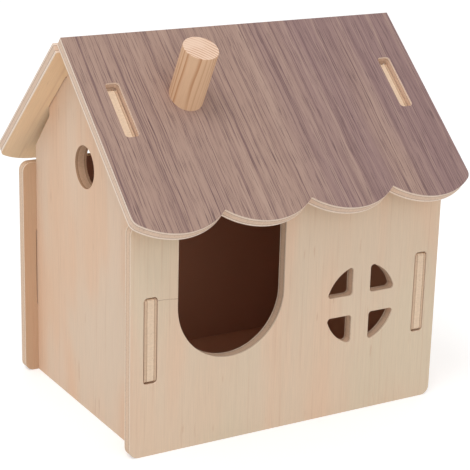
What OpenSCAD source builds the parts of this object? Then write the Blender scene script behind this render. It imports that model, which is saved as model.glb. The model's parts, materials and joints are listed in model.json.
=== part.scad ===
// Small flat-pack hamster house in plywood: four walls that slot together, two roof
// boards that drop over the gable tabs, and a round chimney on the front roof.
// The house stands on z = 0, centred on x and y. The door is in the -y wall.

/* [Plywood] */
// Thickness of the front wall, back wall and roof boards, veneer included
ply = 4.8; // [4:0.1:6]
// Thickness of the two gable walls
gable_ply = 5.4; // [4.5:0.1:6]
// Thickness of the dark veneer on the roof boards
veneer_t = 0.6; // [0.4:0.1:1]

/* [Walls] */
// Width of the front and back walls
wall_w = 150; // [140:1:180]
// Height of the front and back walls
wall_h = 98.5; // [94:0.5:102]
// Inside depth of the house, from front wall to back wall
inside_d = 100; // [96:1:120]
// How far the front and back walls run past the gable walls
wall_lip = 6.3; // [5:0.1:9]
// Rounding of the corners of the front and back walls
wall_corner_r = 4; // [2:0.5:6]

/* [Door] */
// Width of the door
door_w = 50; // [40:1:56]
// Middle of the door, from the middle of the house
door_x = -28.8; // [-32:0.2:-26]
// Height of the door sill at its lowest point
door_sill = 36.7; // [20:0.1:50]

/* [Window] */
// Diameter of the round window
window_d = 35.8; // [28:0.2:40]
// Middle of the window, from the middle of the house
window_x = 35.3; // [32:0.1:38]
// Height of the middle of the window
window_z = 49.2; // [40:0.1:60]
// Width of the cross bars in the window
window_bar = 8.9; // [6:0.1:11]
// Rounding of the corners of the window panes
pane_r = 1.5; // [0.5:0.1:2]

/* [Wall joints] */
// Height of each wall tab
wall_tab_h = 35.1; // [25:0.1:40]
// Height of the middle of the wall tabs
wall_tab_z = 49.6; // [40:0.2:55]
// Clearance on each side of a tab in its slot
tab_gap = 0.4; // [0.2:0.05:0.6]
// Rounding of the slot corners
slot_r = 1.6; // [0.5:0.1:2.4]

/* [Gables] */
// Diameter of the round hole in each gable
gable_hole_d = 18.2; // [10:0.2:24]
// Distance from the line where the outer roof faces would meet down to the middle of that hole
gable_hole_drop = 56.8; // [48:0.2:66]
// How far the gable edge steps down from the roof below the roof tab
shoulder_drop = 3.6; // [1:0.1:5]
// How much steeper than the roof the gable edge runs below that step
shoulder_steep = 4.7; // [0:0.1:8]

/* [Roof] */
// Slope of both roof boards, in degrees
pitch = 42.5; // [40:0.5:44]
// Length of the roof boards along the ridge
roof_l = 160; // [152:1:180]
// Upright gap between the top of the front and back walls and the roof boards
eave_gap = 9.6; // [4:0.2:14]
// Distance from the line where the outer roof faces would meet to the top of the front board
front_top = 2.5; // [1.5:0.1:5]
// Distance from that line to the top of the back board
back_top = 7.7; // [7:0.1:12]
// How far the tips of the scallops reach past the walls, down the slope
eave_overhang = 23.6; // [18:0.2:30]
// Number of scallops along each eave
scallops = 4; // [3:1:6]
// Radius of each scallop
scallop_r = 30; // [28:0.5:45]
// Rounding of the lower corners of the roof boards
roof_corner_r = 5; // [2:0.5:7]

/* [Roof joints] */
// Distance from the meeting line down to the top of a roof slot
roof_slot_s = 26.5; // [20:0.5:32]
// Length of a roof slot along the slope
roof_slot_l = 26.2; // [20:0.2:32]
// Free length above a roof tab in its slot
roof_tab_play = 1.8; // [0.5:0.1:3]
// Clearance between the gable edge and the roof boards that sit on it
seat_gap = 0.1; // [0.05:0.05:0.4]
// How far a roof tab stands up into its board
roof_tab_rise = 2; // [1:0.1:4]

/* [Chimney] */
// Diameter of the dowel
dowel_d = 14.8; // [10:0.1:18]
// Length of the dowel on its axis, from the roof to its square top end
dowel_l = 24; // [15:0.5:35]
// Lean of the dowel from upright towards the front, in degrees
dowel_lean = 28; // [10:1:45]
// Middle of the dowel, from the middle of the house
dowel_x = -35.9; // [-50:0.1:40]
// Distance from the meeting line down to the middle of the dowel
dowel_s = 36.1; // [20:0.1:70]

/* [Hidden] */
$fn = 64;
pale_ply = [0.83, 0.74, 0.64];
gable_tone = [0.85, 0.76, 0.67];
edge_ply = [0.90, 0.81, 0.72];
walnut = [0.65, 0.54, 0.51];
pine = [0.87, 0.71, 0.55];
front_y = inside_d / 2;                        // inner face of the front and back walls
gable_out = wall_w / 2 - wall_lip;             // outer face of a gable
gable_mid = gable_out - gable_ply / 2;         // middle plane of a gable
slot_w = gable_ply + 2 * tab_gap;              // width of every slot
end_gap = slot_r - sqrt(pow(slot_r, 2) - pow(slot_r - tab_gap, 2)) + tab_gap / 2; // past a tab's square end
wall_slot_h = wall_tab_h + 2 * end_gap;
ridge_z = wall_h + eave_gap + (front_y + ply) * tan(pitch) + ply / cos(pitch); // where the outer faces meet
eave_s = (front_y + ply) / cos(pitch) + eave_overhang; // from the meeting line down to the scallop tips
gable_hole_z = ridge_z - gable_hole_drop;
scallop_w = roof_l / scallops;
scallop_mid = eave_s - scallop_r;              // where the scallop arcs are centred
cusp_s = scallop_mid + sqrt(pow(scallop_r, 2) - pow(scallop_w / 2, 2));
roof_tab_s = roof_slot_s + roof_tab_play;      // top end of a roof tab
roof_tab_l = roof_slot_l - roof_tab_play - end_gap;
tab_r = slot_r - tab_gap;                      // rounding of the wall tabs' corners
board_t = ply - veneer_t;                      // thickness of a roof board below its veneer

// A rectangle with rounded corners, w by h, centred.
module rounded_plate(w, h, r) {
    square([w, h - 2 * r], center = true);
    square([w - 2 * r, h], center = true);
    for (x = [-1, 1], y = [-1, 1])
        translate([x * (w / 2 - r), y * (h / 2 - r)]) circle(r = r);
}

// What rounding takes off an outer corner that points to +x and +y, drawn at the origin.
module outer_corner(r)
    difference() {
        translate([-r, -r]) square(2 * r);
        translate([-r, -r]) circle(r = r);
    }

// Lays a flat shape upright as a wall that faces -y, with its inner face at y = 0.
module upright(t) rotate([90, 0, 0]) linear_extrude(t) children();

// One pane: a quarter of the round window with its three corners rounded.
module pane() {
    inner = window_bar / 2;
    reach = sqrt(pow(window_d / 2 - pane_r, 2) - pow(inner + pane_r, 2));
    arc_angle = atan2(inner + pane_r, reach);
    corner = [inner + pane_r, inner + pane_r];
    union() {
        translate(corner) circle(r = pane_r);
        translate([inner + pane_r, reach]) circle(r = pane_r);
        translate([reach, inner + pane_r]) circle(r = pane_r);
        intersection() {
            circle(d = window_d);
            polygon(window_d * [[0, 0], [cos(arc_angle), sin(arc_angle)], [1, 1],
                [sin(arc_angle), cos(arc_angle)]]);
            translate(corner) square(window_d);
        }
        translate([inner, inner + pane_r]) square([pane_r, reach - inner - pane_r]);
        translate([inner + pane_r, inner]) square([reach - inner - pane_r, pane_r]);
        translate([inner + pane_r, inner + pane_r])
            polygon([[0, 0], [reach - inner - pane_r, 0], [0, reach - inner - pane_r]]);
    }
}

module window_outline()
    translate([window_x, window_z])
        for (mx = [0, 1], my = [0, 1]) mirror([mx, 0]) mirror([0, my]) pane();

// The door is a U, open at the top where the eave hides it.
module door_outline()
    translate([door_x, door_sill + door_w / 2]) {
        circle(d = door_w, $fn = 96);
        translate([-door_w / 2, 0]) square([door_w, wall_h]);
    }

// Outline that the front and back walls share, with the slots for the gable tabs.
module end_wall_outline()
    difference() {
        translate([0, wall_h / 2]) rounded_plate(wall_w, wall_h, wall_corner_r);
        for (side = [-1, 1])
            translate([side * gable_mid, wall_tab_z]) rounded_plate(slot_w, wall_slot_h, slot_r);
    }

module front_wall()
    color(pale_ply) translate([0, -front_y, 0]) upright(ply)
        difference() {
            end_wall_outline();
            door_outline();
            window_outline();
        }

module back_wall()
    color(pale_ply) translate([0, front_y + ply, 0]) upright(ply) end_wall_outline();

// Outline of a gable wall on the y-z plane, y across. Its edge carries the roof boards
// from the ridge down to the lower end of the roof tab, and then steps down clear of them.
module gable_outline() {
    down = [cos(pitch), -sin(pitch)];          // down the back slope
    out = [sin(pitch), cos(pitch)];            // square to the back slope
    inner = [0, ridge_z] - (ply + seat_gap) * out; // the meeting line carried in to the gable edge
    tab_top = inner + roof_tab_s * down;
    tab_low = inner + (roof_tab_s + roof_tab_l) * down;
    step = tab_low - [0, shoulder_drop];
    low_z = step[1] - (front_y - step[0]) * tan(pitch + shoulder_steep);
    tab_end = front_y + ply;
    tab_z = [wall_tab_z + wall_tab_h / 2, wall_tab_z - wall_tab_h / 2];
    half = [tab_top, tab_top + roof_tab_rise * out, tab_low + roof_tab_rise * out, tab_low, step,
        [front_y, low_z], [front_y, tab_z[0]], [tab_end, tab_z[0]], [tab_end, tab_z[1]],
        [front_y, tab_z[1]], [front_y, 0]];
    other_half = [for (i = [len(half) - 1 : -1 : 0]) [-half[i][0], half[i][1]]];
    difference() {
        polygon(concat([[0, ridge_z - (ply + seat_gap) / cos(pitch)]], half, other_half));
        translate([0, gable_hole_z]) circle(d = gable_hole_d);
        for (my = [0, 1], end = [0, 1])
            mirror([my, 0]) translate([tab_end, tab_z[end]]) mirror([0, end]) outer_corner(tab_r);
    }
}

// A gable wall; side is -1 for the left one and 1 for the right one.
module gable(side)
    color(gable_tone) translate([side * gable_mid - gable_ply / 2, 0, 0])
        rotate([90, 0, 90]) linear_extrude(gable_ply) gable_outline();

module left_gable() gable(-1);

module right_gable() gable(1);

// Outline of a roof board seen square to the slope: x along the ridge, y down the slope
// from the meeting line. top is where its upper end lies.
module roof_outline(top) {
    corner_drop = sqrt(pow(scallop_r - roof_corner_r, 2)
        - pow(scallop_w / 2 - roof_corner_r, 2));
    corner_s = scallop_mid + corner_drop;      // middle of the corner rounding
    // How far in from the end of the board the rounding runs into the scallop.
    corner_in = scallop_w / 2 - scallop_r * (scallop_w / 2 - roof_corner_r) / (scallop_r - roof_corner_r);
    difference() {
        union() {
            translate([-roof_l / 2, top]) square([roof_l, corner_s - top]);
            intersection() {
                translate([-roof_l / 2 + corner_in, top])
                    square([roof_l - 2 * corner_in, eave_s]);
                union()
                    for (i = [0 : scallops - 1])
                        intersection() {
                            translate([-roof_l / 2 + (i + 0.5) * scallop_w, scallop_mid])
                                circle(r = scallop_r, $fn = 128);
                            translate([-roof_l / 2 + i * scallop_w, top])
                                square([scallop_w, eave_s]);
                        }
            }
            for (side = [-1, 1])
                translate([side * (roof_l / 2 - roof_corner_r), corner_s])
                    circle(r = roof_corner_r);
        }
        for (side = [-1, 1])
            translate([side * gable_mid, roof_slot_s + roof_slot_l / 2])
                rounded_plate(slot_w, roof_slot_l, slot_r);
    }
}

// Places a shape drawn on the slope: front is 1 for the -y slope and 0 for the +y one.
module on_slope(front)
    translate([0, 0, ridge_z]) mirror([0, front, 0]) rotate([-pitch, 0, 0]) children();

// The plywood of a roof board, below its veneer.
module roof_board(top, front)
    on_slope(front) translate([0, 0, -ply]) linear_extrude(board_t) roof_outline(top);

// The veneer of a roof board.
module roof_veneer(top, front)
    on_slope(front) translate([0, 0, -veneer_t]) linear_extrude(veneer_t) roof_outline(top);

module front_roof_board() color(edge_ply) roof_board(front_top, 1);

module back_roof_board() color(edge_ply) roof_board(back_top, 0);

module front_roof_veneer() color(walnut) roof_veneer(front_top, 1);

module back_roof_veneer() color(walnut) roof_veneer(back_top, 0);

// The chimney: a pine dowel with a square top end, its foot cut to the slope of the roof.
module chimney_dowel()
    color(pine) on_slope(1) intersection() {
        translate([dowel_x, dowel_s, 0]) rotate([pitch - dowel_lean, 0, 0])
            translate([0, 0, -dowel_d]) cylinder(d = dowel_d, h = dowel_d + dowel_l);
        translate([-roof_l / 2, 0, 0]) cube([roof_l, eave_s, dowel_l + dowel_d]);
    }

front_wall();
back_wall();
left_gable();
right_gable();
front_roof_board();
back_roof_board();
front_roof_veneer();
back_roof_veneer();
chimney_dowel();
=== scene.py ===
import json
import math

import bmesh
import bpy
from mathutils import Matrix, Vector


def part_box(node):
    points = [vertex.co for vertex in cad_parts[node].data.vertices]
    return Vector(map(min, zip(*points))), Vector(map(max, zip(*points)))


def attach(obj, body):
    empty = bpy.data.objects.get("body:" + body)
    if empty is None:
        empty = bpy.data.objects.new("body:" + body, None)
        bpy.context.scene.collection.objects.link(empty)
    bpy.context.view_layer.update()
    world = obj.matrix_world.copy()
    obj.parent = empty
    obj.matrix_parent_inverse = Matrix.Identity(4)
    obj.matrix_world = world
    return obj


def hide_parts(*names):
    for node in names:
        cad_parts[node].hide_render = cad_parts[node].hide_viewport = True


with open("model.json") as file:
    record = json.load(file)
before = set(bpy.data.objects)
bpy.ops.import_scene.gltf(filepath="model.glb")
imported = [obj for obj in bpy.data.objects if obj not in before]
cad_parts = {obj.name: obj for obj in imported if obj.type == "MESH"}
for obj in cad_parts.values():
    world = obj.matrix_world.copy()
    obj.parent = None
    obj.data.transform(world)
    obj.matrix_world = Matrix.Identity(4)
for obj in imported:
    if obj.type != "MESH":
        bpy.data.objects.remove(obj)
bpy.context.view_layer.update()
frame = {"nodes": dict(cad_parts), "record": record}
print("frame loaded:", len(frame["nodes"]), "nodes")

mm = 0.001
alongX, alongY, alongZ = Vector((1, 0, 0)), Vector((0, 1, 0)), Vector((0, 0, 1))

# The roof's slope comes from the direction in which the front board lifts off.
frontOut = Vector(next(j["axis"] for j in frame["record"]["behaviour"]["joints"] if j["child"] == "front_roof"))
frontOut.normalize()
backOut = Vector((0, -frontOut.y, frontOut.z))
frontDown = Vector((0, -frontOut.z, frontOut.y))
backDown = Vector((0, frontOut.z, frontOut.y))

gableInner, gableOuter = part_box("right_gable")[0][0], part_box("right_gable")[1][0]
wallInner = -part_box("front_wall")[1][1]


def span(node, direction):
    # How far a CAD node reaches along a direction, in metres.
    along = [vertex.co.dot(direction) for vertex in frame["nodes"][node].data.vertices]
    return min(along), max(along)


def tone(red, green, blue):
    # A colour as a paint chart gives it, 0 to 255, turned into what a shader socket takes.
    return [((c / 255 + 0.055) / 1.055) ** 2.4 if c > 10 else c / 255 / 12.92 for c in (red, green, blue)] + [1]


def blended(first, second, share):
    return [a + (b - a) * share for a, b in zip(first, second)]


def newNode(tree, kind, **settings):
    node = tree.nodes.new("ShaderNode" + kind)
    for name, value in settings.items():
        setattr(node, name, value)
    return node


def feed(tree, socket, value):
    if isinstance(value, bpy.types.NodeSocket):
        tree.links.new(value, socket)
    else:
        socket.default_value = value


def math2(tree, operation, first, second=0.0):
    node = newNode(tree, "Math", operation=operation)
    feed(tree, node.inputs[0], first)
    feed(tree, node.inputs[1], second)
    return node.outputs[0]


def scaled(tree, value, factor, offset=0.0):
    node = newNode(tree, "Math", operation="MULTIPLY_ADD")
    for socket, part in zip(node.inputs, (value, factor, offset)):
        feed(tree, socket, part)
    return node.outputs[0]


def band(tree, value, low, high):
    # 0 below low, 1 above high, smooth between.
    node = newNode(tree, "MapRange", interpolation_type="SMOOTHSTEP")
    feed(tree, node.inputs["Value"], value)
    feed(tree, node.inputs["From Min"], low)
    feed(tree, node.inputs["From Max"], high)
    return node.outputs["Result"]


def dot(tree, vector, direction):
    node = newNode(tree, "VectorMath", operation="DOT_PRODUCT")
    feed(tree, node.inputs[0], vector)
    node.inputs[1].default_value = direction
    return node.outputs["Value"]


def combine(tree, x, y, z):
    node = newNode(tree, "CombineXYZ")
    for socket, value in zip(node.inputs, (x, y, z)):
        feed(tree, socket, value)
    return node.outputs[0]


def noise(tree, vector, detail, roughness=0.5):
    node = newNode(tree, "TexNoise")
    feed(tree, node.inputs["Vector"], vector)
    node.inputs["Scale"].default_value = 1.0
    node.inputs["Detail"].default_value = detail
    node.inputs["Roughness"].default_value = roughness
    return node.outputs["Fac"]


def blendColour(tree, factor, first, second, mode="MIX"):
    node = newNode(tree, "Mix", data_type="RGBA", blend_type=mode)
    feed(tree, node.inputs["Factor"], factor)
    feed(tree, node.inputs[6], first)          # 6 and 7 are the Mix node's colour sockets
    feed(tree, node.inputs[7], second)
    return node.outputs[2]


def ramp(tree, value, stops):
    node = newNode(tree, "ValToRGB")
    while len(node.color_ramp.elements) < len(stops):
        node.color_ramp.elements.new(0.5)
    for element, (place, colour) in zip(node.color_ramp.elements, stops):
        element.position, element.color = place, colour
    feed(tree, node.inputs[0], value)
    return node.outputs[0]


def newMaterial(name):
    made = bpy.data.materials.new(name)
    made.use_nodes = True
    return made, made.node_tree, made.node_tree.nodes["Principled BSDF"]


def woodSpace(tree, grain, across, out):
    # The place on the piece in millimetres: along the grain, across it, and out of the board.
    place = newNode(tree, "TexCoord").outputs["Object"]
    return [math2(tree, "MULTIPLY", dot(tree, place, axis), 1 / mm) for axis in (grain, across, out)]


def stretched(tree, space, along, across, seed):
    # Stretches the wood's space so that noise in it runs with the grain.
    g, a, o = space
    return combine(tree, scaled(tree, g, along, seed), scaled(tree, a, across, seed * 1.7),
                   scaled(tree, o, across, seed * 0.6))


def grain(tree, space, pattern, seed=0.0):
    # Noise along the grain. pattern gives its steps per millimetre, a shift of its own and its detail.
    place = stretched(tree, space, pattern["along"], pattern["across"], seed + pattern["shift"])
    return noise(tree, place, pattern["detail"], pattern.get("roughness", 0.5))


def grit(tree, space, pattern):
    # Noise on a cut edge, with its own steps per millimetre along the board and through it.
    place = combine(tree, scaled(tree, space[0], pattern["flat"], pattern["shift"]),
                    scaled(tree, space[1], pattern["flat"]), scaled(tree, space[2], pattern["deep"]))
    return noise(tree, place, pattern["detail"], pattern["roughness"])


def shows(tree, value, fade, share=1.0):
    # How strongly a pattern shows: from none to share, as the noise goes through fade.
    return scaled(tree, band(tree, value, *fade), share)


def shaded(tree, colour, value, swing, least):
    # Darkens a colour by noise: times least where it is 0, and swing more where it is 1.
    shade = scaled(tree, value, swing, least)
    return blendColour(tree, 1.0, colour, combine(tree, shade, shade, shade), "MULTIPLY")


def facing(tree, out, fade):
    # 1 on the faces that lie square to out, 0 on the cut edges.
    normal = newNode(tree, "TexCoord").outputs["Normal"]
    return band(tree, math2(tree, "ABSOLUTE", dot(tree, normal, out)), *fade)


def insideCabin(tree, reach):
    # 1 on what lies between the four walls, and as far as reach into them, 0 on the rest.
    place = newNode(tree, "TexCoord").outputs["Object"]
    within = [math2(tree, "LESS_THAN", math2(tree, "ABSOLUTE", dot(tree, place, axis)), limit + reach)
              for axis, limit in ((alongX, gableInner), (alongY, wallInner))]
    return math2(tree, "MULTIPLY", *within)


def finish(tree, shader, colour, relief, look):
    feed(tree, shader.inputs["Base Color"], colour)
    shader.inputs["Roughness"].default_value = look["roughness"]
    shader.inputs["Specular IOR Level"].default_value = look["gloss"]
    node = newNode(tree, "Bump")
    node.inputs["Strength"].default_value = look["relief"]
    node.inputs["Distance"].default_value = look["reliefDepth"]
    feed(tree, node.inputs["Height"], relief)
    tree.links.new(node.outputs[0], shader.inputs["Normal"])


plyLook = {
    "face": tone(228, 205, 180),
    "faceWarm": tone(232, 201, 174),       # broad pinkish bands
    "faceCool": tone(225, 205, 179),       # broad straw-coloured bands
    "streak": tone(206, 164, 132),         # thin darker lines and flecks of the grain
    "inner": tone(210, 164, 134),          # faces inside the house: unsanded, and darkened with painted shade
    "innerReach": 0.05 * mm,
    "warmBands": {"along": 0.008, "across": 0.05, "shift": 0, "detail": 2},
    "warmFade": (0.4, 0.66),
    "coolBands": {"along": 0.012, "across": 0.03, "shift": 9, "detail": 2},
    "coolFade": (0.46, 0.7),
    "lines": {"along": 0.012, "across": 0.8, "shift": 3, "detail": 3, "roughness": 0.55},
    "lineFade": (0.56, 0.72),
    "lineShare": 0.24,
    "flecks": {"along": 0.06, "across": 0.5, "shift": 21, "detail": 2},
    "fleckFade": (0.68, 0.78),
    "fleckShare": 0.45,
    "fibre": {"along": 0.09, "across": 3.2, "shift": 5, "detail": 4, "roughness": 0.6},
    "fibreShade": (0.22, 0.89),
    "outerPly": tone(240, 218, 196),       # layers that show at a cut edge
    "core": tone(227, 195, 167),
    "coreMiddle": 0.25,                    # how far the core pales towards its middle
    "glue": tone(168, 130, 102),
    "plies": (0.2, 0.8),                   # where the glue lines lie, as shares of the thickness
    "glueFade": (0.03, 0.04),              # how fast a glue line fades outwards and inwards
    "plyWander": 0.08,                     # how far the layers wander, as a share of the thickness
    "plyWanderStep": 0.11,
    "pits": {"flat": 1.6, "deep": 0.7, "shift": 0, "detail": 3, "roughness": 0.65},
    "pitShade": (0.36, 0.82),
    "saw": {"flat": 0.9, "deep": 2.4, "shift": 4, "detail": 2, "roughness": 0.6},
    "sawFade": (0.66, 0.74),
    "sawShare": 0.6,
    "faceFade": (0.55, 0.75),
    "roughness": 0.62,
    "gloss": 0.25,
    "relief": 0.25,
    "reliefDepth": 0.12 * mm,
}
# A hairline crack runs from the left slot to the door. Places are along the grain and across it,
# in millimetres.
frontWallLook = dict(plyLook, crack={
    "start": (66.3, 62.9), "end": (65.7, 53.8), "wander": 0.8, "step": 0.4,
    "halfWidth": (0.05, 0.16), "share": 0.75})
# The back wall's inner face, which also shows beside the gables, is darkened further with painted shade.
backWallLook = dict(plyLook, inner=tone(188, 134, 106), innerFace={
    "face": tone(208, 172, 142), "faceWarm": tone(210, 170, 138), "faceCool": tone(204, 172, 142)})
# The ends of the gable tabs show a core paler than the plies beside it. The cut edge in the drilled air hole is
# darkened with painted shade: bore is its place along y and z, and how far to look, in millimetres.
# The gables' inner faces take a lighter painted shade than the walls'.
gableLook = dict(plyLook, face=tone(235, 207, 182), faceWarm=tone(236, 200, 170), faceCool=tone(232, 208, 184),
                 outerPly=tone(214, 184, 156), core=tone(238, 212, 184), glue=tone(172, 132, 104),
                 inner=tone(226, 184, 152), bore=(0.0, 108.0, 10.0), boreShade=(0.8, 0.7, 0.64, 1))
# The roof boards' faces are paler and yellower than the walls': partly their own tone, and partly painted light
# that lifts the shade on the undersides of the eaves.
roofLook = dict(plyLook, face=tone(246, 218, 182), faceWarm=tone(248, 216, 178), faceCool=tone(242, 214, 178),
                outerPly=tone(248, 228, 210), core=tone(226, 196, 172), glue=tone(142, 108, 90),
                plies=(0.12, 0.72))


def crackLine(tree, space, crack, seed):
    # 1 along the hairline, 0 beside it.
    (startAlong, startAcross), (endAlong, endAcross) = crack["start"], crack["end"]
    slope = (endAlong - startAlong) / (endAcross - startAcross)
    waver = noise(tree, stretched(tree, space, crack["step"], crack["step"], seed), 2)
    line = scaled(tree, math2(tree, "SUBTRACT", space[1], startAcross), slope, startAlong - crack["wander"] / 2)
    off = math2(tree, "ABSOLUTE", math2(tree, "SUBTRACT", space[0], scaled(tree, waver, crack["wander"], line)))
    near = math2(tree, "SUBTRACT", 1.0, band(tree, off, *crack["halfWidth"]))
    between = math2(tree, "MULTIPLY", math2(tree, "GREATER_THAN", space[1], min(startAcross, endAcross)),
                    math2(tree, "LESS_THAN", space[1], max(startAcross, endAcross)))
    return math2(tree, "MULTIPLY", near, between)


def plyFace(tree, space, out, look, seed, fibre):
    ground = {kind: look[kind] for kind in ("face", "faceWarm", "faceCool")}
    if "innerFace" in look:
        # Painted shade: the inner face takes darker colours.
        onShadedInnerFace = math2(tree, "LESS_THAN", dot(tree, newNode(tree, "TexCoord").outputs["Normal"], out), 0.0)
        ground = {kind: blendColour(tree, onShadedInnerFace, look[kind], look["innerFace"][kind]) for kind in ground}
    warm = shows(tree, grain(tree, space, look["warmBands"], seed), look["warmFade"])
    cool = shows(tree, grain(tree, space, look["coolBands"], seed), look["coolFade"])
    lines = shows(tree, grain(tree, space, look["lines"], seed), look["lineFade"], look["lineShare"])
    flecks = shows(tree, grain(tree, space, look["flecks"], seed), look["fleckFade"], look["fleckShare"])
    face = blendColour(tree, warm, ground["face"], ground["faceWarm"])
    face = blendColour(tree, cool, face, ground["faceCool"])
    face = blendColour(tree, lines, face, look["streak"])
    face = blendColour(tree, flecks, face, look["streak"])
    face = shaded(tree, face, fibre, *look["fibreShade"])
    if "crack" in look:
        crack = scaled(tree, crackLine(tree, space, look["crack"], seed), look["crack"]["share"])
        face = blendColour(tree, crack, face, look["glue"])
    return face


def plyEdge(tree, space, depth, look, seed, pits):
    # The layers of the board where it is cut. depth is 0 at the outer face and 1 at the inner one.
    wander = noise(tree, combine(tree, *(scaled(tree, s, look["plyWanderStep"], seed) for s in space)), 2)
    layer = scaled(tree, wander, look["plyWander"], math2(tree, "SUBTRACT", depth, look["plyWander"] / 2))
    (top, bottom), (outwards, inwards) = look["plies"], look["glueFade"]
    pale, core, glue = look["outerPly"], look["core"], look["glue"]
    edge = ramp(tree, layer, [(0.0, pale), (top - outwards, pale), (top, glue), (top + inwards, core),
                              (0.5, blended(core, pale, look["coreMiddle"])), (bottom - inwards, core),
                              (bottom, glue), (bottom + outwards, pale), (1.0, pale)])
    edge = shaded(tree, edge, pits, *look["pitShade"])
    sawMarks = shows(tree, grit(tree, space, look["saw"]), look["sawFade"], look["sawShare"])
    edge = blendColour(tree, sawMarks, edge, look["glue"])
    # Painted shade on the cut edge inside the air hole.
    if "bore" in look:
        y, z, reach = look["bore"]
        place = newNode(tree, "TexCoord").outputs["Object"]
        away = [math2(tree, "ABSOLUTE", scaled(tree, dot(tree, place, axis), 1 / mm, -middle))
                for axis, middle in ((alongY, y), (alongZ, z))]
        inShadedBore = math2(tree, "MULTIPLY", *(math2(tree, "LESS_THAN", off, reach) for off in away))
        edge = blendColour(tree, inShadedBore, edge, look["boreShade"], "MULTIPLY")
    return edge


def plywood(name, along, out, node, look, seed):
    # along is the way the grain runs, and out points to the outer face.
    made, tree, shader = newMaterial(name)
    space = woodSpace(tree, along, out.cross(along), out)
    low, high = (reach / mm for reach in span(node, out))
    depth = math2(tree, "DIVIDE", math2(tree, "SUBTRACT", high, space[2]), high - low)
    fibre = grain(tree, space, look["fibre"], seed)
    pits = grit(tree, space, look["pits"])
    face = plyFace(tree, space, out, look, seed, fibre)
    edge = plyEdge(tree, space, depth, look, seed, pits)

    isFace = facing(tree, out, look["faceFade"])
    # Painted shade: faces inside the house take the darker inner colour.
    isShadedInner = math2(tree, "MULTIPLY", insideCabin(tree, look["innerReach"]), isFace)
    face = blendColour(tree, isShadedInner, face, look["inner"])
    finish(tree, shader, blendColour(tree, isFace, edge, face), blendColour(tree, isFace, pits, fibre), look)
    return made


frontWallPly = plywood("frontWallPly", alongZ, -alongY, "front_wall", frontWallLook, seed=2.0)
backWallPly = plywood("backWallPly", alongZ, alongY, "back_wall", backWallLook, seed=31.0)
leftGablePly = plywood("leftGablePly", alongZ, -alongX, "left_gable", gableLook, seed=14.0)
rightGablePly = plywood("rightGablePly", alongZ, alongX, "right_gable", gableLook, seed=47.0)
frontRoofPly = plywood("frontRoofPly", frontDown, frontOut, "front_roof_board", roofLook, seed=5.0)
backRoofPly = plywood("backRoofPly", backDown, backOut, "back_roof_board", roofLook, seed=77.0)
print("plywood ready")

walnutLook = {
    "mauve": tone(150, 121, 117),
    "brown": tone(172, 142, 128),
    "light": tone(190, 161, 145),
    "dark": tone(114, 86, 86),
    "pore": tone(88, 65, 67),
    "cutEdge": tone(236, 214, 196),
    "bend": {"along": 0.02, "across": 0.015, "shift": 0, "detail": 2},
    "bendReach": 3.0,                      # how far the grain wanders sideways, in millimetres
    "ground": {"along": 0.003, "across": 0.03, "shift": 0, "detail": 2},
    "groundFade": (0.38, 0.62),
    "fadeRight": 0.0018,                   # how the brown gives way to mauve, per millimetre
    "bands": {"along": 0.006, "across": 0.35, "shift": 4, "detail": 3, "roughness": 0.6},
    "lightBands": ((0.5, 0.7), 0.45),      # between which noise values, and how strongly at most
    "darkBands": ((0.48, 0.3), 0.4),
    "lines": {"along": 0.014, "across": 1.9, "shift": 8, "detail": 3, "roughness": 0.62},
    "darkLines": ((0.55, 0.62), 0.75),
    "lightLines": ((0.45, 0.33), 0.35),
    "pores": {"along": 0.085, "across": 3.4, "shift": 12, "detail": 2},
    "poreMarks": ((0.56, 0.66), 0.6),
    "faceFade": (0.5, 0.8),
    "roughness": 0.58,
    "gloss": 0.3,
    "relief": 0.2,
    "reliefDepth": 0.1 * mm,
}


def walnut(name, down, out, look, seed):
    # The grain runs down the slope, and out points away from the board.
    made, tree, shader = newMaterial(name)
    space = woodSpace(tree, down, alongX, out)
    space[1] = scaled(tree, grain(tree, space, look["bend"], seed), look["bendReach"], space[1])
    ground = math2(tree, "SUBTRACT", grain(tree, space, look["ground"], seed),
                   scaled(tree, space[1], look["fadeRight"]))
    bands, lines, pores = (grain(tree, space, look[kind], seed) for kind in ("bands", "lines", "pores"))
    colour = blendColour(tree, shows(tree, ground, look["groundFade"]), look["mauve"], look["brown"])
    for value, marks, paint in ((bands, "lightBands", "light"), (bands, "darkBands", "dark"),
                                (lines, "darkLines", "dark"), (lines, "lightLines", "light"),
                                (pores, "poreMarks", "pore")):
        colour = blendColour(tree, shows(tree, value, *look[marks]), colour, look[paint])
    colour = blendColour(tree, facing(tree, out, look["faceFade"]), look["cutEdge"], colour)
    finish(tree, shader, colour, math2(tree, "SUBTRACT", 1.0, pores), look)
    return made


frontWalnut = walnut("frontWalnut", frontDown, frontOut, walnutLook, seed=3.0)
backWalnut = walnut("backWalnut", backDown, backOut, walnutLook, seed=52.0)
print("walnut ready")

pineLook = {
    "early": tone(232, 192, 156),
    "late": tone(194, 138, 98),
    "sawnEnd": tone(240, 208, 184),
    "lean": math.radians(28.0),            # from upright, towards the front
    "heart": 26.0,                         # millimetres from the dowel's middle to the heart of the tree
    "heartSide": math.radians(222.0),
    "ringGap": 1.5,                        # millimetres between growth rings
    "ringWander": 1.6,
    "wander": {"along": 0.03, "across": 0.1, "shift": 6, "detail": 2},
    "lateRise": (0.45, 0.86),              # each ring darkens slowly and ends at once
    "lateFall": (1.0, 0.9),
    "patch": {"along": 0.02, "across": 0.16, "shift": 3, "detail": 1},
    "patchFade": (0.3, 0.6),
    "lateShare": (0.65, 0.2),
    "fibre": {"along": 0.12, "across": 3.0, "shift": 1, "detail": 4, "roughness": 0.6},
    "fibreShade": (0.2, 0.9),
    "endFade": (0.6, 0.9),
    "roughness": 0.6,
    "gloss": 0.25,
    "relief": 0.25,
    "reliefDepth": 0.12 * mm,
}


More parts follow.
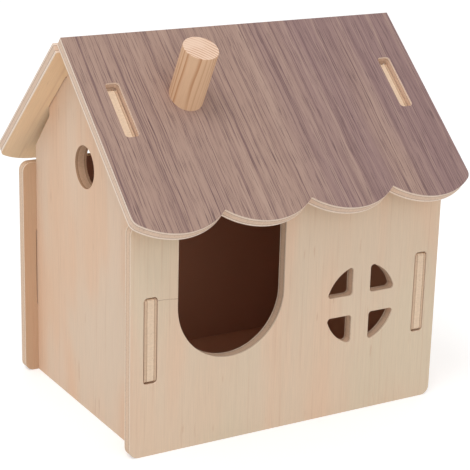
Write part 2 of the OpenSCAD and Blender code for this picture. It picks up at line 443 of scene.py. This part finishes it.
def pine(name, node, look):
    made, tree, shader = newMaterial(name)
    up = Vector((0, -math.sin(look["lean"]), math.cos(look["lean"])))
    side = alongX.cross(up)
    low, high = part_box(node)
    toHeart = alongX * math.cos(look["heartSide"]) - side * math.sin(look["heartSide"])
    heart = (low + high) / 2 + look["heart"] * mm * toHeart
    space = woodSpace(tree, up, alongX, side)
    x = math2(tree, "SUBTRACT", space[1], heart.dot(alongX) / mm)
    y = math2(tree, "SUBTRACT", space[2], heart.dot(side) / mm)
    squares = (math2(tree, "POWER", part, 2.0) for part in (x, y))
    distance = math2(tree, "SQRT", math2(tree, "ADD", *squares))
    distance = scaled(tree, grain(tree, space, look["wander"]), look["ringWander"], distance)
    ring = math2(tree, "FRACT", math2(tree, "DIVIDE", distance, look["ringGap"]))
    late = math2(tree, "MULTIPLY", band(tree, ring, *look["lateRise"]), band(tree, ring, *look["lateFall"]))
    patch = band(tree, grain(tree, space, look["patch"]), *look["patchFade"])
    late = math2(tree, "MULTIPLY", late, scaled(tree, patch, *look["lateShare"]))
    fibre = grain(tree, space, look["fibre"])
    ground = blendColour(tree, facing(tree, up, look["endFade"]), look["early"], look["sawnEnd"])
    colour = shaded(tree, blendColour(tree, late, ground, look["late"]), fibre, *look["fibreShade"])
    finish(tree, shader, colour, fibre, look)
    return made


chimneyPine = pine("chimneyPine", "chimney_dowel", pineLook)
print("pine ready")

edgeLook = {
    "sanding": 0.22 * mm,                  # how far an outer edge is sanded round
    "slotSanding": 0.12 * mm,              # the same at slots and tabs, which stay crisp
    "veneerSanding": 0.12 * mm,
    "steps": 3,
    "cutAngle": math.radians(60),          # a cut edge turns by more than this
    "sharperThan": math.radians(35),       # and one that turns by more than this is shaded sharp
    "wallSlots": (28 * mm, 72 * mm),       # heights at which the wall slots lie
    "roofSlots": 115 * mm,                 # and above which the roof slots lie
    "gableTop": 120 * mm,
}


def atSlots(point):
    # True for a point on a wall slot or a roof slot.
    low, high = edgeLook["wallSlots"]
    nearGable = gableInner - 1 * mm < abs(point.x) < gableOuter + 1 * mm
    return nearGable and (low < point.z < high or point.z > edgeLook["roofSlots"])


def atTabs(point):
    # True for a point on a wall tab or on a gable's edge under the roof.
    return abs(point.y) > wallInner - 0.1 * mm or point.z > edgeLook["gableTop"]


def isGlued(edge, glueFace):
    # glueFace is a direction and the place along it where two pieces are glued.
    direction, place = glueFace
    return all(abs(vertex.co.dot(direction) - place) < 0.01 * mm for vertex in edge.verts)


def sanded(node, body, material, slotName, glueFace=None, fine=atSlots, sanding=edgeLook["sanding"]):
    # A copy of a CAD piece with its cut edges sanded round, apart from those on a glued face.
    mesh = bmesh.new()
    mesh.from_mesh(frame["nodes"][node].data)
    bmesh.ops.remove_doubles(mesh, verts=mesh.verts, dist=0.001 * mm)
    bmesh.ops.dissolve_limit(mesh, angle_limit=math.radians(0.4), verts=mesh.verts, edges=mesh.edges)
    for isFine, amount in ((True, edgeLook["slotSanding"]), (False, sanding)):
        cut = [edge for edge in mesh.edges
               if len(edge.link_faces) == 2 and edge.calc_face_angle(0.0) > edgeLook["cutAngle"]
               and not (glueFace and isGlued(edge, glueFace))
               and all(fine(vertex.co) for vertex in edge.verts) == isFine]
        bmesh.ops.bevel(mesh, geom=cut, offset=amount, segments=edgeLook["steps"], profile=0.5,
                        affect="EDGES", clamp_overlap=True)
    bmesh.ops.triangulate(mesh, faces=[face for face in mesh.faces if len(face.verts) > 4])
    for face in mesh.faces:
        face.smooth = True
    for edge in mesh.edges:
        edge.smooth = edge.calc_face_angle(0.0) < edgeLook["sharperThan"]
    data = bpy.data.meshes.new(slotName + "Mesh")
    mesh.to_mesh(data)
    mesh.free()
    data.materials.append(material)
    piece = bpy.data.objects.new(node + "_wood", data)
    bpy.context.scene.collection.objects.link(piece)
    weighted = piece.modifiers.new("evenShading", "WEIGHTED_NORMAL")
    weighted.keep_sharp = True
    weighted.weight = 100
    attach(piece, body)
    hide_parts(node)


sanded("front_wall", "walls", frontWallPly, "wall_plywood")
sanded("back_wall", "walls", backWallPly, "wall_plywood")
sanded("left_gable", "walls", leftGablePly, "gable_plywood", fine=atTabs)
sanded("right_gable", "walls", rightGablePly, "gable_plywood", fine=atTabs)
for side, out, ply, veneer in (("front", frontOut, frontRoofPly, frontWalnut),
                               ("back", backOut, backRoofPly, backWalnut)):
    underVeneer = (out, span(side + "_roof_board", out)[1])
    sanded(side + "_roof_board", side + "_roof", ply, "roof_plywood", underVeneer)
    sanded(side + "_roof_veneer", side + "_roof", veneer, "walnut_veneer", underVeneer,
           sanding=edgeLook["veneerSanding"])
underDowel = (frontOut, span("front_roof_veneer", frontOut)[1])
sanded("chimney_dowel", "front_roof", chimneyPine, "pine_dowel", underDowel)
print("pieces dressed")

stageLook = {
    "size": 6.0,
    "floor": tone(225, 225, 225),
    "roughness": 0.9,
    "glow": 0.42,                          # what the floor shows the camera by itself
    "shade": tone(226, 178, 148),          # painted shade: the floor inside the house is darker and browner
    "paintedShadeReach": 3 * mm,                  # it ends out of sight, under the walls
    "world": 0.72,                         # light from all round; the camera sees it as white
}


def seenDirectly(tree):
    # 1 for the camera, reflections and glass, 0 for the light that falls on the object.
    path = newNode(tree, "LightPath")
    return math2(tree, "MAXIMUM", path.outputs["Is Camera Ray"],
                 math2(tree, "MAXIMUM", path.outputs["Is Glossy Ray"], path.outputs["Is Transmission Ray"]))


def layFloor(look):
    half = look["size"] / 2
    data = bpy.data.meshes.new("floorMesh")
    corners = [(-half, -half, 0), (half, -half, 0), (half, half, 0), (-half, half, 0)]
    data.from_pydata(corners, [], [(0, 1, 2, 3)])
    floor = bpy.data.objects.new("floor", data)
    bpy.context.scene.collection.objects.link(floor)
    paint, tree, shader = newMaterial("paleFloor")
    # Painted shade: inside the house the floor is darker and doesn't glow.
    shadedUnderHouse = insideCabin(tree, look["paintedShadeReach"])
    feed(tree, shader.inputs["Base Color"], blendColour(tree, shadedUnderHouse, look["floor"], look["shade"]))
    shader.inputs["Roughness"].default_value = look["roughness"]
    shader.inputs["Specular IOR Level"].default_value = 0.0
    glow = newNode(tree, "Emission")
    lit = math2(tree, "MULTIPLY", seenDirectly(tree), math2(tree, "SUBTRACT", 1.0, shadedUnderHouse))
    feed(tree, glow.inputs["Strength"], math2(tree, "MULTIPLY", lit, look["glow"]))
    both = newNode(tree, "AddShader")
    tree.links.new(shader.outputs[0], both.inputs[0])
    tree.links.new(glow.outputs[0], both.inputs[1])
    tree.links.new(both.outputs[0], tree.nodes["Material Output"].inputs["Surface"])
    data.materials.append(paint)


def lightWorld(look):
    world = bpy.data.worlds.new("studio")
    bpy.context.scene.world = world
    world.use_nodes = True
    sky = world.node_tree.nodes["Background"]
    sky.inputs["Color"].default_value = (1, 1, 1, 1)
    feed(world.node_tree, sky.inputs["Strength"],
         scaled(world.node_tree, seenDirectly(world.node_tree), 1.0 - look["world"], look["world"]))


layFloor(stageLook)
lightWorld(stageLook)

lampLook = {
    # name: place, size, watts
    "key": ((-0.9, -0.6, 2.2), 0.9, 12.0),
    "fill": ((-0.6, -2.4, 0.9), 1.6, 7.0),
    "back": ((0.3, 1.9, 1.4), 1.8, 2.5),
}
lampAim = Vector((0, 0, 0.08))


def lamp(name, place, size, watts):
    data = bpy.data.lights.new(name, "AREA")
    data.shape, data.size, data.energy = "DISK", size, watts
    made = bpy.data.objects.new(name, data)
    made.location = place
    made.rotation_euler = (lampAim - Vector(place)).to_track_quat("-Z", "Y").to_euler()
    bpy.context.scene.collection.objects.link(made)


for name, (place, size, watts) in lampLook.items():
    lamp(name, place, size, watts)

cameraLook = {
    "azimuth": math.radians(-29.36),
    "height": math.radians(17.34),
    "roll": math.radians(0.99),
    "target": Vector((-19.01, 0, 71.88)) * mm,
    "distance": 661.56 * mm,
    "focal": 1518.45,                      # in pixels of the picture
    "centre": (188, 235),                  # where the lens axis meets the picture
    "picture": 470,
    "sensor": 36,
}


def placeCamera(look):
    turn, rise = look["azimuth"], look["height"]
    back = Vector((math.sin(turn) * math.cos(rise), -math.cos(turn) * math.cos(rise), math.sin(rise)))
    right = Vector((math.cos(turn), math.sin(turn), 0))
    up = back.cross(right)
    rolledRight = math.cos(look["roll"]) * right + math.sin(look["roll"]) * up
    rolledUp = back.cross(rolledRight)
    data = bpy.data.cameras.new("camera")
    data.sensor_width = look["sensor"]
    data.lens = look["focal"] * look["sensor"] / look["picture"]
    data.shift_x = (look["picture"] / 2 - look["centre"][0]) / look["picture"]
    data.shift_y = (look["centre"][1] - look["picture"] / 2) / look["picture"]
    made = bpy.data.objects.new("camera", data)
    made.matrix_world = Matrix.Translation(look["target"] + back * look["distance"]) @ Matrix(
        (rolledRight, rolledUp, back)).transposed().to_4x4()
    bpy.context.scene.collection.objects.link(made)
    bpy.context.scene.camera = made


placeCamera(cameraLook)
bpy.context.scene.view_settings.view_transform = "Standard"
print("stage set")
